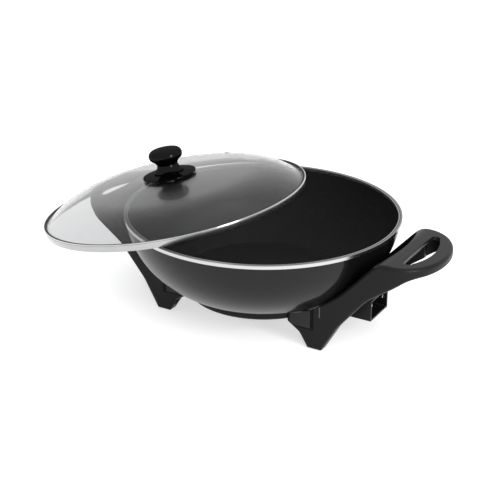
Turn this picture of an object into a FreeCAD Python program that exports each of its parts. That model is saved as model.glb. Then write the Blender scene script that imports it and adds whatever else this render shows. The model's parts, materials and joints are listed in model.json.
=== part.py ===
"""Electric wok: a cast pan with a heater under it, two handle-and-leg mouldings and a loose glass lid.

Frame: +Z up, +X towards the heat inlet, origin on the table under the middle of the pan. Millimetres.
The lid leans on the pan's rim and on the tip of the left handle.
"""
import FreeCAD
import Part
import Sketcher
import math
import os
import re

from FreeCAD import Placement, Rotation, Vector

SIZES = {
    # pan
    "rim_radius": 165.0,
    "rim_top": 131.0,
    "lip_height": 4.0,
    "lip_step": 1.2,
    "lip_width": 4.6,
    "pan_wall": 2.6,
    "side_radius": 108.0,
    "base_radius": 98.7,
    "base_height": 41.5,
    "floor_thickness": 4.0,
    # heater casting and element
    "casting_inset": 6.7,
    "casting_height": 11.5,
    "casting_bore": 30.0,
    "casting_chamfer": 2.0,
    "guard_recess_room": 0.5,
    "element_inset": 24.0,
    "tube_radius": 3.75,
    "tube_bend": 10.0,
    "tube_overhang": 7.0,
    "stud_circle": 46.0,
    "stud_radius": 2.5,
    "stud_recess": 1.5,
    "stud_root": 2.5,
    "nut_radius": 4.6,
    "nut_height": 4.0,
    "nut_recess": 0.8,
    "nut_room": 1.2,
    "washer_thickness": 1.0,
    "washer_rim": 0.6,
    # heat inlet
    "pin_spacing": 32.0,
    "pin_radius": 2.4,
    "pin_collar": 0.8,
    "pin_back": 1.0,
    "pin_step": 0.5,
    "pin_rise": 6.5,
    "pin_length": 26.0,
    "block_gap": 6.4,
    "block_thickness": 9.0,
    "block_height": 12.0,
    "bead_length": 3.0,
    "bead_step": 0.3,
    "strap_thickness": 1.2,
    "strap_width": 4.0,
    "strap_land": 3.0,
    "well_radius": 3.6,
    "well_bore": 2.75,
    "well_inset": 18.0,
    "well_nose": 2.0,
    "well_end": 2.0,
    "guard_half_width": 23.0,
    "guard_sink": 2.2,
    "guard_rise": 10.0,
    "guard_sheet": 1.6,
    "guard_overhang": 3.0,
    "guard_ear": 24.0,
    "guard_screw_offset": 14.0,
    "guard_thread": 3.5,
    "small_screw_radius": 2.0,
    "small_head_radius": 3.6,
    "small_head_height": 2.4,
    # handle and leg mouldings
    "handle_half_width": 64.0,
    "leg_thickness": 14.0,
    "tip_overhang": 70.0,
    "nose_length": 44.0,
    "handle_drop": 6.0,
    "tip_drop": 3.0,
    "web_thickness": 6.0,
    "web_drop": 11.0,
    "web_gap": 24.0,
    "web_slant": 1.45,
    "web_round": 60.0,
    "web_root_round": 10.0,
    "loop_thickness": 11.0,
    "loop_plate": 4.0,
    "loop_rim": 6.0,
    "loop_inset": 5.5,
    "loop_fall": 1.0,
    "plate_drop": 0.6,
    "plate_round": 3.0,
    "foot_tuck": 3.7,
    "foot_length": 17.5,
    "knee_reach": 11.0,
    "knee_height": 17.5,
    "pad_reach": 27.0,
    "pad_height": 28.0,
    "back_margin": 3.0,
    "arm_start_inset": 2.0,
    "arm_start_drop": 66.0,
    "arm_middle_reach": 22.0,
    "arm_middle_drop": 47.5,
    "arm_end_reach": 57.0,
    "under_arm_reach": 54.0,
    "under_arm_drop": 49.0,
    "leg_outer_reach": 20.0,
    "leg_outer_height": 35.0,
    "hole_margin": 16.5,
    "hole_width": 20.5,
    "hole_half_length": 45.0,
    "hole_bow": 4.0,
    "hole_end_round": 5.0,
    "inner_bar": 14.0,
    "edge_round": 4.0,
    "screw_outset": 4.47,
    "boss_radius": 4.6,
    "boss_length": 6.5,
    "boss_root": 6.0,
    "boss_skin": 0.5,
    "screw_radius": 2.5,
    "screw_head_radius": 4.5,
    "screw_head_height": 3.2,
    "screw_head_room": 0.6,
    "screw_head_step": 0.4,
    "screw_tip_gap": 1.0,
    "screw_seat": 5.0,
    # lid
    "lid_inset": 2.0,
    "band_height": 9.0,
    "band_sheet": 1.0,
    "band_lip": 4.2,
    "glass_thickness": 4.0,
    "glass_edge_inset": 5.0,
    "glass_lip_share": 0.9,
    "crown_rise": 28.0,
    "shoulder_run": 63.0,
    "crown_radius": 1100.0,
    "vent_inset": 42.0,
    "vent_bearing": 86.0,
    "vent_radius": 2.0,
    "eyelet_wall": 1.0,
    "eyelet_flange": 3.0,
    "eyelet_sheet": 0.6,
    "eyelet_bow": 0.15,
    "lean_azimuth": 187.4,
    "lean_shift": 115.6,
    # knob
    "knob_radius": 20.5,
    "knob_height": 30.5,
    "knob_foot_radius": 18.0,
    "knob_foot_height": 1.5,
    "knob_flare": 12.0,
    "knob_neck_radius": 12.5,
    "knob_neck_height": 10.0,
    "knob_throat": 14.0,
    "knob_cheek_inset": 1.5,
    "knob_cheek_height": 17.0,
    "knob_cheek": 8.0,
    "knob_belly_height": 21.0,
    "knob_shoulder": 7.0,
    "knob_dome_inset": 6.0,
    "knob_dome_rise": 1.8,
    "disc_radius": 32.5,
    "disc_thickness": 4.0,
    "disc_chamfer": 2.0,
    "disc_chamfer_height": 0.8,
    "disc_edge_height": 2.0,
    "disc_step": 2.0,
    "gasket_radius": 12.0,
    "gasket_thickness": 1.2,
    "seal_radius": 13.5,
    "seal_thickness": 1.5,
    "plate_radius": 10.0,
    "plate_thickness": 1.0,
    "knob_screw_radius": 2.5,
    "knob_screw_reach": 16.0,
    "knob_screw_head_radius": 5.0,
    "knob_screw_head_height": 3.0,
    "knob_screw_chamfer": 1.0,
    # clearances
    "seat_gap": 0.3,
    "lid_gap": 0.35,
    "hole_clearance": 0.1,
    "seal_gap": 0.15,
    # how far a cutting tool runs past the faces that it cuts
    "overcut": 1.0,
}

doc = FreeCAD.newDocument("electric_wok")
sizes = doc.addObject("Spreadsheet::Sheet", "sizes")
for row, (alias, number) in enumerate(SIZES.items(), start=1):
    sizes.set(f"A{row}", alias)
    sizes.set(f"B{row}", str(number))
    sizes.setAlias(f"B{row}", alias)
doc.recompute()


def linked(text):
    """An expression whose size names point at the sheet."""
    return re.sub(r"[a-z_]+", lambda m: "sizes." + m.group() if m.group() in SIZES else m.group(), text)


def value(text):
    """The number that an expression on the sheet gives now."""
    return float(sizes.evalExpression(str(text)))


def size(alias):
    return float(sizes.get(alias))


nodes = {}


def node(name, thing):
    """Name a finished sub-part and keep it for export."""
    thing.Label = name
    nodes[name] = thing
    return thing


# ---------------------------------------------------------------- sketch and primitive helpers

def origin_plane(body, role):
    return next(plane for plane in body.Origin.OriginFeatures if plane.Role == role)


def fix_point(sketch, element, position, x_text, y_text):
    """Hold one end of a sketch element at a pair of expressions."""
    for kind, text, axis in (("DistanceX", x_text, -2), ("DistanceY", y_text, -1)):
        if text == "0":
            sketch.addConstraint(Sketcher.Constraint("PointOnObject", element, position, axis))
            continue
        index = sketch.addConstraint(Sketcher.Constraint(kind, element, position, value(text)))
        sketch.setExpression(f"Constraints[{index}]", linked(text))


def draw_outline(sketch, corners):
    """Closed outline of (x, y, radius) corners; a radius bends the edge that leaves its corner.

    A positive radius turns left along the outline, a negative one turns right, None is a straight edge.
    """
    ends = []
    for index, (x_text, y_text, radius) in enumerate(corners):
        next_x, next_y, _ = corners[(index + 1) % len(corners)]
        start = Vector(value(x_text), value(y_text), 0)
        end = Vector(value(next_x), value(next_y), 0)
        if radius is None:
            sketch.addGeometry(Part.LineSegment(start, end))
            ends.append((1, 2))
            continue
        left_turn = not radius.startswith("-")
        length = value(radius.lstrip("-"))
        chord = end - start
        rise = math.sqrt(length ** 2 - (chord.Length / 2) ** 2)
        side = Vector(-chord.y, chord.x, 0).normalize() * (rise if left_turn else -rise)
        centre = (start + end) * 0.5 + side
        first, last = (start, end) if left_turn else (end, start)
        angles = [math.atan2(point.y - centre.y, point.x - centre.x) for point in (first, last)]
        if angles[1] < angles[0]:
            angles[1] += 2 * math.pi
        circle = Part.Circle(centre, Vector(0, 0, 1), length)
        element = sketch.addGeometry(Part.ArcOfCircle(circle, *angles))
        ends.append((1, 2) if left_turn else (2, 1))
        constraint = sketch.addConstraint(Sketcher.Constraint("Radius", element, length))
        sketch.setExpression(f"Constraints[{constraint}]", linked(radius.lstrip("-")))
    for index, (x_text, y_text, _) in enumerate(corners):
        following = (index + 1) % len(corners)
        joint = Sketcher.Constraint("Coincident", index, ends[index][1], following, ends[following][0])
        sketch.addConstraint(joint)
        fix_point(sketch, index, ends[index][0], x_text, y_text)


def turned(name, corners):
    """A body turned about the Z axis from a half section of (radius, height, bend) corners."""
    body = doc.addObject("PartDesign::Body", name)
    sketch = body.newObject("Sketcher::SketchObject", name + "_section")
    sketch.AttachmentSupport = (origin_plane(body, "XZ_Plane"), [""])
    sketch.MapMode = "FlatFace"
    draw_outline(sketch, corners)
    turn = body.newObject("PartDesign::Revolution", name + "_turn")
    turn.Profile = sketch
    turn.ReferenceAxis = (sketch, ["V_Axis"])
    turn.Angle = 360.0
    doc.recompute()
    return body


def bind(thing, **expressions):
    for attribute, text in expressions.items():
        thing.setExpression(attribute.replace("__", "."), linked(str(text)))
    return thing


def cylinder(name, radius, height, x="0", y="0", z="0", along="Z"):
    """A round bar from (x, y, z), along +Z or +X, with every size bound to the sheet."""
    bar = doc.addObject("Part::Cylinder", name)
    if along == "X":
        bar.Placement = Placement(Vector(), Rotation(Vector(0, 1, 0), 90))
    return bind(bar, Radius=radius, Height=height, Placement__Base__x=x, Placement__Base__y=y, Placement__Base__z=z)


def block(name, low, high):
    """A box between two corners of expressions."""
    box = doc.addObject("Part::Box", name)
    spans = [f"({b}) - ({a})" for a, b in zip(low, high)]
    return bind(box, Length=spans[0], Width=spans[1], Height=spans[2],
                Placement__Base__x=low[0], Placement__Base__y=low[1], Placement__Base__z=low[2])


def fuse(name, things):
    joined = doc.addObject("Part::MultiFuse", name)
    joined.Shapes = list(things)
    joined.Refine = True
    return joined


def cut(name, base, tool):
    result = doc.addObject("Part::Cut", name)
    result.Base = base
    result.Tool = tool
    result.Refine = True
    return result


def group(name, things):
    """Separate solids that share one node."""
    set_of = doc.addObject("Part::Compound", name)
    set_of.Links = list(things)
    return set_of


def fixed_shape(name, shape):
    thing = doc.addObject("Part::Feature", name)
    thing.Shape = shape
    return thing


# ---------------------------------------------------------------- pan

SIDE_RUN = "(rim_radius - lip_step - base_radius)"
SIDE_CLIMB = "(rim_top - lip_height - base_height)"
SIDE_BOW = f"sqrt(side_radius^2 / ({SIDE_RUN}^2 + {SIDE_CLIMB}^2) - 0.25)"
SIDE_CENTRE_R = f"((base_radius + rim_radius - lip_step) / 2 - {SIDE_CLIMB} * {SIDE_BOW})"
SIDE_CENTRE_Z = f"((base_height + rim_top - lip_height) / 2 + {SIDE_RUN} * {SIDE_BOW})"
LIP_BOTTOM = "(rim_top - lip_height)"
FLOOR_TOP = "(base_height + floor_thickness)"


def wall_radius(height, inset="0"):
    """Radius of the pan's curved side at a height, taken inwards by an inset."""
    return f"({SIDE_CENTRE_R} + sqrt((side_radius - {inset})^2 - ({SIDE_CENTRE_Z} - {height})^2))"


# heater and inlet, each from the pan's base or side
CASTING_BOTTOM = "(base_height - casting_height)"
CASTING_RADIUS = "(base_radius - casting_inset)"
ELEMENT_RADIUS = f"({CASTING_RADIUS} - element_inset)"
TUBE_HEIGHT = "(base_height - tube_radius)"
TUBE_END = f"({CASTING_RADIUS} + tube_overhang)"
PIN_HEIGHT = "(base_height + pin_rise)"
BLOCK_BACK = f"({wall_radius(PIN_HEIGHT)} + block_gap)"
BLOCK_FRONT = f"({BLOCK_BACK} + block_thickness)"
PIN_TIP = f"({BLOCK_FRONT} + pin_length)"
WELL_START = f"({CASTING_RADIUS} - well_inset)"
WELL_LENGTH = f"({BLOCK_BACK} + well_nose - {WELL_START})"
GUARD_BOTTOM = f"({CASTING_BOTTOM} + guard_sink)"
GUARD_SEAT = f"({GUARD_BOTTOM} + guard_sheet)"
GUARD_TOP = f"({PIN_HEIGHT} + guard_rise)"
GUARD_FRONT = f"({PIN_TIP} + guard_overhang)"

# handles, from the pan's base and rim
HANDLE_TOP = "(rim_top - handle_drop)"
HANDLE_TIP = "(rim_radius + tip_overhang)"
NOSE_START = f"({HANDLE_TIP} - nose_length)"
FOOT_INNER = "(base_radius - foot_tuck)"
FOOT_OUTER = f"({FOOT_INNER} + foot_length)"
WEB_START = f"({BLOCK_BACK} + web_gap)"
HOLE_OUTER = f"({HANDLE_TIP} - hole_margin)"
HOLE_INNER = f"({HOLE_OUTER} - hole_width)"
SCREW_Y = "(handle_half_width - leg_thickness / 2)"
SCREW_X = f"sqrt((base_radius + screw_outset)^2 - {SCREW_Y}^2)"
BOSS_BOTTOM = "(base_height - boss_length)"


def pan_outline(grow):
    """Half section of the pan without its hollow, grown outwards by a clearance."""
    side = f"side_radius + {grow}"
    low = f"base_height - {grow}"
    return [
        ("0", low, None),
        (wall_radius(f"({low})", f"(0 - {grow})"), low, side),
        (wall_radius(LIP_BOTTOM, f"(0 - {grow})"), LIP_BOTTOM, None),
        (f"rim_radius + {grow}", LIP_BOTTOM, None),
        (f"rim_radius + {grow}", f"rim_top + {grow}", None),
        ("0", f"rim_top + {grow}", None),
    ]


def side_positions():
    """Signs of the four handle screws: both sides of the pan, front and back."""
    return [(x_sign, y_sign) for x_sign in ("", "-") for y_sign in ("", "-")]


def stud_places():
    """Axes of the four studs that hold the heater casting."""
    return [{"x": f"stud_circle * cos({angle} deg)", "y": f"stud_circle * sin({angle} deg)"}
            for angle in (45, 135, 225, 315)]


def make_pan():
    blank = turned("pan_blank", pan_outline("0"))
    hollow = turned("pan_hollow", [
        ("0", FLOOR_TOP, None),
        (wall_radius(FLOOR_TOP, "pan_wall"), FLOOR_TOP, "side_radius - pan_wall"),
        (wall_radius(LIP_BOTTOM, "pan_wall"), LIP_BOTTOM, None),
        ("rim_radius - lip_width", "rim_top", None),
        ("rim_radius - lip_width", "rim_top + overcut", None),
        ("0", "rim_top + overcut", None),
    ])
    bosses = []
    holes = [hollow]
    for number, (x_sign, y_sign) in enumerate(side_positions()):
        place = {"x": f"{x_sign}{SCREW_X}", "y": f"{y_sign}{SCREW_Y}", "z": BOSS_BOTTOM}
        bosses.append(cylinder(f"boss_{number}", "boss_radius", "boss_length + boss_root", **place))
        holes.append(cylinder(f"boss_hole_{number}", "screw_radius", "boss_length - boss_skin", **place))
    for number, place in enumerate(stud_places()):
        bosses.append(cylinder(f"stud_{number}", "stud_radius", "casting_height - stud_recess + stud_root",
                               z=f"{CASTING_BOTTOM} + stud_recess", **place))
    solid = fuse("pan_solid", [blank, *bosses])
    return node("pan_bowl", cut("pan", solid, fuse("pan_holes", holes)))


# ---------------------------------------------------------------- heater

def element_path():
    """Centre line of the tube: an open ring whose two ends bend out towards +X."""
    ring, bend = value(ELEMENT_RADIUS), size("tube_bend")
    offset, reach = size("pin_spacing") / 2, value(TUBE_END)
    height = value(TUBE_HEIGHT)
    bend_y = offset + bend
    bend_x = math.sqrt((ring + bend) ** 2 - bend_y ** 2)
    join = Vector(bend_x, bend_y, 0) * (ring / (ring + bend))
    middle = Vector(bend_x, bend_y, 0)
    corner = middle + (Vector(-bend_x, -bend_y, 0).normalize() + Vector(0, -1, 0)).normalize() * bend

    def at(x, y):
        return Vector(x, y, height)

    edges = [
        Part.LineSegment(at(reach, offset), at(bend_x, offset)),
        Part.Arc(at(bend_x, offset), at(corner.x, corner.y), at(join.x, join.y)),
        Part.Arc(at(join.x, join.y), at(-ring, 0), at(join.x, -join.y)),
        Part.Arc(at(join.x, -join.y), at(corner.x, -corner.y), at(bend_x, -offset)),
        Part.LineSegment(at(bend_x, -offset), at(reach, -offset)),
    ]
    return Part.Wire([edge.toShape() for edge in edges])


def make_element():
    path = element_path()
    start = Vector(value(TUBE_END), size("pin_spacing") / 2, value(TUBE_HEIGHT))
    circle = Part.Wire([Part.makeCircle(size("tube_radius"), start, Vector(-1, 0, 0))])
    return node("heating_element", fixed_shape("tube", path.makePipeShell([circle], True, False)))


def make_casting(element):
    blank = turned("casting_blank", [
        ("casting_bore", CASTING_BOTTOM, None),
        (f"{CASTING_RADIUS} - casting_chamfer", CASTING_BOTTOM, None),
        (CASTING_RADIUS, f"{CASTING_BOTTOM} + casting_chamfer", None),
        (CASTING_RADIUS, "base_height", None),
        ("casting_bore", "base_height", None),
    ])
    tools = [element, cylinder("well_hole", "well_radius", WELL_LENGTH, x=WELL_START, z=TUBE_HEIGHT, along="X")]
    for number, place in enumerate(stud_places()):
        tools.append(cylinder(f"stud_hole_{number}", "stud_radius + hole_clearance", "casting_height + 2 * overcut",
                              z=f"{CASTING_BOTTOM} - overcut", **place))
        tools.append(cylinder(f"nut_pocket_{number}", "nut_radius + nut_room",
                              "nut_recess + nut_height + washer_thickness", z=CASTING_BOTTOM, **place))
    for number, y_sign in enumerate(("", "-")):
        tools.append(cylinder(f"guard_thread_{number}", "small_screw_radius", "guard_thread + 1.5 * overcut",
                              x=f"{CASTING_RADIUS} - guard_screw_offset", y=f"{y_sign}pin_spacing / 4",
                              z=f"{GUARD_SEAT} - overcut"))
    half = "(guard_half_width + guard_recess_room)"
    tools.append(block("guard_recess", (f"{CASTING_RADIUS} - guard_ear - guard_recess_room", f"0 - {half}", "0"),
                       (f"{CASTING_RADIUS} + overcut", half, GUARD_SEAT)))
    return node("heater_casting", cut("casting", blank, fuse("casting_holes", tools)))


def make_heater_fasteners():
    nuts, washers = [], []
    seat = f"{CASTING_BOTTOM} + nut_recess + nut_height"
    for number, place in enumerate(stud_places()):
        hexagon = doc.addObject("Part::Prism", f"nut_hexagon_{number}")
        hexagon.Polygon = 6
        bind(hexagon, Circumradius="nut_radius", Height="nut_height", Placement__Base__x=place["x"],
             Placement__Base__y=place["y"], Placement__Base__z=f"{CASTING_BOTTOM} + nut_recess")
        bore = cylinder(f"nut_bore_{number}", "stud_radius + hole_clearance", "nut_height + 2 * overcut",
                        z=CASTING_BOTTOM, **place)
        nuts.append(cut(f"nut_{number}", hexagon, bore))
        disc = cylinder(f"washer_disc_{number}", "nut_radius + washer_rim", "washer_thickness", z=seat, **place)
        eye = cylinder(f"washer_eye_{number}", "stud_radius + hole_clearance", "washer_thickness", z=seat, **place)
        washers.append(cut(f"washer_{number}", disc, eye))
    node("heater_nuts", group("nuts", nuts))
    node("heater_washers", group("washers", washers))


# ---------------------------------------------------------------- heat inlet

def make_sensor_well():
    outside = cylinder("well_outside", "well_radius", WELL_LENGTH, x=WELL_START, z=TUBE_HEIGHT, along="X")
    bore = cylinder("well_inside", "well_bore", f"{WELL_LENGTH} - well_end", x=f"{WELL_START} + well_end",
                    z=TUBE_HEIGHT, along="X")
    return node("sensor_well", cut("well", outside, bore))


def make_terminals():
    pins, beads, straps = [], [], []
    for number, y_sign in enumerate(("", "-")):
        y = f"{y_sign}pin_spacing / 2"
        shank = cylinder(f"pin_shank_{number}", "pin_radius + pin_collar",
                         "pin_back + block_thickness + pin_step", x=f"{BLOCK_BACK} - pin_back", y=y,
                         z=PIN_HEIGHT, along="X")
        blade = cylinder(f"pin_blade_{number}", "pin_radius", "pin_length", x=BLOCK_FRONT, y=y, z=PIN_HEIGHT,
                         along="X")
        pins.append(fuse(f"pin_{number}", [shank, blade]))
        beads.append(cylinder(f"bead_{number}", "tube_radius - bead_step", "bead_length", x=TUBE_END, y=y,
                              z=TUBE_HEIGHT, along="X"))
        middle = value(y)
        back, front = value(TUBE_END) + size("bead_length"), value(BLOCK_BACK) - size("pin_back")
        low, high = value(TUBE_HEIGHT), value(PIN_HEIGHT)
        half, land = size("strap_width") / 2, size("strap_land")
        corners = [(back, low - half), (back + land, low - half), (front, high - half), (front, high + half),
                   (front - land / 3, high + half), (back + land / 3, low + half), (back, low + half)]
        points = [Vector(x, middle - size("strap_thickness") / 2, z) for x, z in corners]
        face = Part.Face(Part.makePolygon([*points, points[0]]))
        straps.append(face.extrude(Vector(0, size("strap_thickness"), 0)))
    node("terminal_pins", group("pins", pins))
    node("element_beads", group("beads", beads))
    node("terminal_straps", fixed_shape("straps", Part.Compound(straps)))


def make_terminal_block():
    half = "(guard_half_width - guard_sheet)"
    low = (BLOCK_BACK, f"0 - {half}", f"{PIN_HEIGHT} - block_height / 2")
    high = (BLOCK_FRONT, half, f"{PIN_HEIGHT} + block_height / 2")
    body = block("block_body", low, high)
    tools = [cylinder(f"block_hole_{number}", "pin_radius + pin_collar", "block_thickness + 2 * overcut",
                      x=f"{BLOCK_BACK} - overcut", y=f"{y_sign}pin_spacing / 2", z=PIN_HEIGHT, along="X")
             for number, y_sign in enumerate(("", "-"))]
    tools.append(turned("bowl_over_block", pan_outline("seat_gap")))
    return node("terminal_block", cut("block", body, fuse("block_holes", tools)))


def make_guard():
    """Folded sheet box around the inlet, with an ear that screws to the underside of the heater casting."""
    half = "guard_half_width"
    outer = block("guard_outer", (f"{CASTING_RADIUS} + overcut", f"-{half}", GUARD_BOTTOM),
                  (GUARD_FRONT, half, GUARD_TOP))
    inner = block("guard_inner", (CASTING_RADIUS, f"guard_sheet - {half}", GUARD_SEAT),
                  (f"{GUARD_FRONT} + overcut", f"{half} - guard_sheet", f"{GUARD_TOP} - guard_sheet"))
    shell = cut("guard_shell", outer, inner)
    ear = block("guard_ear_plate", (f"{CASTING_RADIUS} - guard_ear", f"-{half}", GUARD_BOTTOM),
                (f"{CASTING_RADIUS} + 2 * overcut", half, GUARD_SEAT))
    joined = fuse("guard_joined", [shell, ear])
    tools = [turned("bowl_over_guard", pan_outline("seat_gap"))]
    heads, shafts = [], []
    for number, y_sign in enumerate(("", "-")):
        place = {"x": f"{CASTING_RADIUS} - guard_screw_offset", "y": f"{y_sign}pin_spacing / 4"}
        tools.append(cylinder(f"guard_hole_{number}", "small_screw_radius + hole_clearance",
                              "guard_sheet + 2 * overcut", z=f"{GUARD_BOTTOM} - overcut", **place))
        heads.append(cylinder(f"guard_head_{number}", "small_head_radius", "small_head_height",
                              z=f"{GUARD_BOTTOM} - small_head_height", **place))
        shafts.append(cylinder(f"guard_shaft_{number}", "small_screw_radius", "guard_sheet + guard_thread",
                               z=GUARD_BOTTOM, **place))
    node("inlet_guard", cut("guard", joined, fuse("guard_holes", tools)))
    screws = [fuse(f"guard_screw_{number}", pair) for number, pair in enumerate(zip(heads, shafts))]
    node("guard_screws", group("guard_screw_pair", screws))


# ---------------------------------------------------------------- handles

def rounded_wire(corners, place):
    """Closed wire through (u, v, radius) corners, each rounded by its radius; place turns (u, v) into a point."""
    points = [Vector(u, v, 0) for u, v, _ in corners]
    edges = []
    ends = []
    for index, (_, _, radius) in enumerate(corners):
        here, before = points[index], points[index - 1]
        after = points[(index + 1) % len(points)]
        into, out = (before - here).normalize(), (after - here).normalize()
        angle = into.getAngle(out)
        reach = radius / math.tan(angle / 2)
        if radius < 1e-6 or reach < 1e-6:
            ends.append((here, here, here))
            continue
        middle = here + (into + out).normalize() * (radius / math.sin(angle / 2) - radius)
        ends.append((here + into * reach, middle, here + out * reach))
    for index, (first, middle, last) in enumerate(ends):
        if (first - last).Length > 1e-6:
            edges.append(Part.Arc(place(first), place(middle), place(last)).toShape())
        following = ends[(index + 1) % len(ends)][0]
        if (last - following).Length > 1e-6:
            edges.append(Part.LineSegment(place(last), place(following)).toShape())
    return Part.Wire(edges)


def upright_slab(corners, half_width):
    """A slab with an X-Z outline, centred on the X-Z plane."""
    wire = rounded_wire(corners, lambda p: Vector(p.x, -half_width, p.y))
    return Part.Face(wire).extrude(Vector(0, 2 * half_width, 0))


def handle_lines():
    """Named points of the moulding's side view, as (x, z)."""
    top, tip = value(HANDLE_TOP), value(HANDLE_TIP)
    foot_inner, foot_outer = value(FOOT_INNER), value(FOOT_OUTER)
    tip_top = top - size("tip_drop")
    return {
        "foot_outer": (foot_outer, 0),
        "foot_inner": (foot_inner, 0),
        "knee_inner": (foot_inner - size("knee_reach"), size("knee_height")),
        "pad_corner": (foot_inner - size("pad_reach"), size("pad_height")),
        "pad_top": (foot_inner - size("pad_reach"), top - size("arm_start_drop")),
        "arm_start": (foot_outer - size("arm_start_inset"), top - size("arm_start_drop")),
        "arm_middle": (foot_outer + size("arm_middle_reach"), top - size("arm_middle_drop")),
        "arm_top": (tip - size("arm_end_reach"), top),
        "tip_top": (tip, tip_top),
        "tip_bottom": (tip, tip_top - size("loop_thickness")),
        "loop_bottom": (tip - size("hole_margin") - size("loop_inset"),
                        tip_top - size("loop_thickness") - size("loop_fall")),
        "under_arm": (foot_outer + size("under_arm_reach"), top - size("under_arm_drop")),
        "leg_outer": (foot_outer + size("leg_outer_reach"), size("leg_outer_height")),
    }


def handle_plan(inset):
    """Plan outline of the moulding, drawn in by an inset: straight sides that end in half an ellipse."""
    half, start = size("handle_half_width") - inset, value(NOSE_START)
    back, tip = value(FOOT_INNER) - size("pad_reach") - size("back_margin"), value(HANDLE_TIP) - inset
    nose = Part.Ellipse(Vector(start, half, 0), Vector(tip, 0, 0), Vector(start, 0, 0))
    curve = nose.toShape(0, math.pi)
    ends = sorted((vertex.Point for vertex in curve.Vertexes), key=lambda point: point.y)
    corners = [ends[1], Vector(back, half, 0), Vector(back, -half, 0), ends[0]]
    sides = [Part.LineSegment(a, b).toShape() for a, b in zip(corners, corners[1:])]
    outline = Part.Wire(Part.sortEdges([curve, *sides])[0])
    return Part.Face(outline).extrude(Vector(0, 0, size("rim_top")))


def follows_plan(edge):
    """Whether an edge runs along the plan outline, where the moulding's side meets its top or underside."""
    half, start, nose = size("handle_half_width"), value(NOSE_START), size("nose_length")
    span = edge.LastParameter - edge.FirstParameter
    for share in (0, 0.25, 0.5, 0.75, 1):
        point = edge.valueAt(edge.FirstParameter + span * share)
        reach = max(point.x - start, 0) / nose
        if abs(math.hypot(reach, point.y / half) - 1) > 1e-4:
            return False
    return edge.BoundBox.XLength > 1e-3


def handle_blank():
    """Side outline of the moulding crossed with its plan outline, with its edges rounded."""
    at = handle_lines()
    rounding = {"arm_start": 8, "arm_middle": 60, "arm_top": 22, "tip_top": 0, "tip_bottom": 0,
                "loop_bottom": 25, "under_arm": 60, "leg_outer": 60, "foot_outer": 1.5, "foot_inner": 1.5,
                "knee_inner": 12, "pad_corner": 3, "pad_top": 0}
    side = upright_slab([(*point, rounding[name]) for name, point in at.items()], size("handle_half_width"))
    solid = side.common(handle_plan(0))
    return solid.makeFillet(size("edge_round"), [edge for edge in solid.Edges if follows_plan(edge)])


def handle_hole():
    """Finger hole: a long oval that bows towards the tip, right through the loop."""
    inner, outer, half = value(HOLE_INNER), value(HOLE_OUTER), size("hole_half_length")
    bend = size("hole_end_round")
    ends = (inner + outer) / 2 - size("hole_bow")
    points = [
        (ends - bend, half - bend), (ends, half), (ends + bend, half - bend), (outer, 0),
        (ends + bend, bend - half), (ends, -half), (ends - bend, bend - half), (inner, 0),
    ]
    around = [Vector(x, y, 0) for x, y in (*points, points[0])]
    edges = [Part.Arc(*around[first:first + 3]).toShape() for first in (0, 2, 4, 6)]
    return Part.Face(Part.Wire(edges)).extrude(Vector(0, 0, size("rim_top")))


def handle_hollows():
    """Spaces between the two legs: over the web, under it, under the loop's plate and around the inlet."""
    at = handle_lines()
    inside = size("handle_half_width") - size("leg_thickness")
    top, tip, plate = value(HANDLE_TOP), value(HANDLE_TIP), size("loop_plate")
    over = size("web_drop") * size("web_slant")
    under = over + size("web_thickness") * size("web_slant")
    (start_x, start_z), (middle_x, middle_z) = at["arm_start"], at["arm_middle"]
    bar = value(HOLE_INNER) - size("inner_bar")
    wall, past = bar + plate, bar + size("inner_bar")
    slope = (top - middle_z) / (at["arm_top"][0] - middle_x)
    bar_z = middle_z + slope * (bar - middle_x)
    past_z = middle_z + slope * (past - middle_x)
    high, low, spare = size("rim_top"), -size("loop_thickness"), size("overcut")
    root, bend, corner = size("web_root_round"), size("web_round"), size("plate_round")
    above = [(0, start_z - over, 0), (start_x, start_z - over, root), (middle_x, middle_z - over, bend),
             (past, past_z - over, 0), (past, high, 0), (0, high, 0)]
    below = [(0, start_z - under, 0), (start_x, start_z - under, root), (middle_x, middle_z - under, bend),
             (bar, bar_z - under, corner), (bar, low, 0), (0, low, 0)]
    under_plate = [(wall, low, 0), (tip, low, 0), (tip, top - size("tip_drop") - plate, 0),
                   (wall, top - size("plate_drop") - plate, corner)]
    joint = [(bar - spare, low, 0), (wall + spare, low, 0), (wall + spare, bar_z - under, 0),
             (bar - spare, bar_z - under, 0)]
    around_inlet = [(0, low, 0), (value(WEB_START), low, 0), (value(WEB_START), top, 0), (0, top, 0)]
    return [
        upright_slab(above, inside).common(Part.makeCylinder(bar, high)),
        upright_slab(under_plate, size("handle_half_width")).common(handle_plan(size("loop_rim"))),
        *(upright_slab(corners, inside) for corners in (below, joint, around_inlet)),
    ]


def make_handle(name, turn):
    """One handle-and-leg moulding on the +X side, or turned half round for the -X side."""
    ring = Part.makeCylinder(value(CASTING_RADIUS) + size("seat_gap"), size("casting_height") + size("overcut"),
                             Vector(0, 0, value(CASTING_BOTTOM) - size("seat_gap")))
    tools = [pan_clearance.Shape, ring, handle_hole(), *handle_hollows()]
    seat, grown = value(BOSS_BOTTOM), size("hole_clearance")
    for side in (1, -1):
        spot = Vector(value(SCREW_X), side * value(SCREW_Y), 0)
        tools.append(Part.makeCylinder(size("boss_radius") + grown, seat, spot + Vector(0, 0, seat)))
        tools.append(Part.makeCylinder(size("screw_radius") + grown, 2 * seat, spot))
        tools.append(Part.makeCylinder(size("screw_head_radius") + size("screw_head_room"),
                                       seat - size("screw_seat"), spot))
    shape = handle_blank().cut(tools).removeSplitter()
    if turn:
        shape = shape.rotated(Vector(), Vector(0, 0, 1), 180)
    return node(name, fixed_shape(name + "_moulding", shape))


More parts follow.
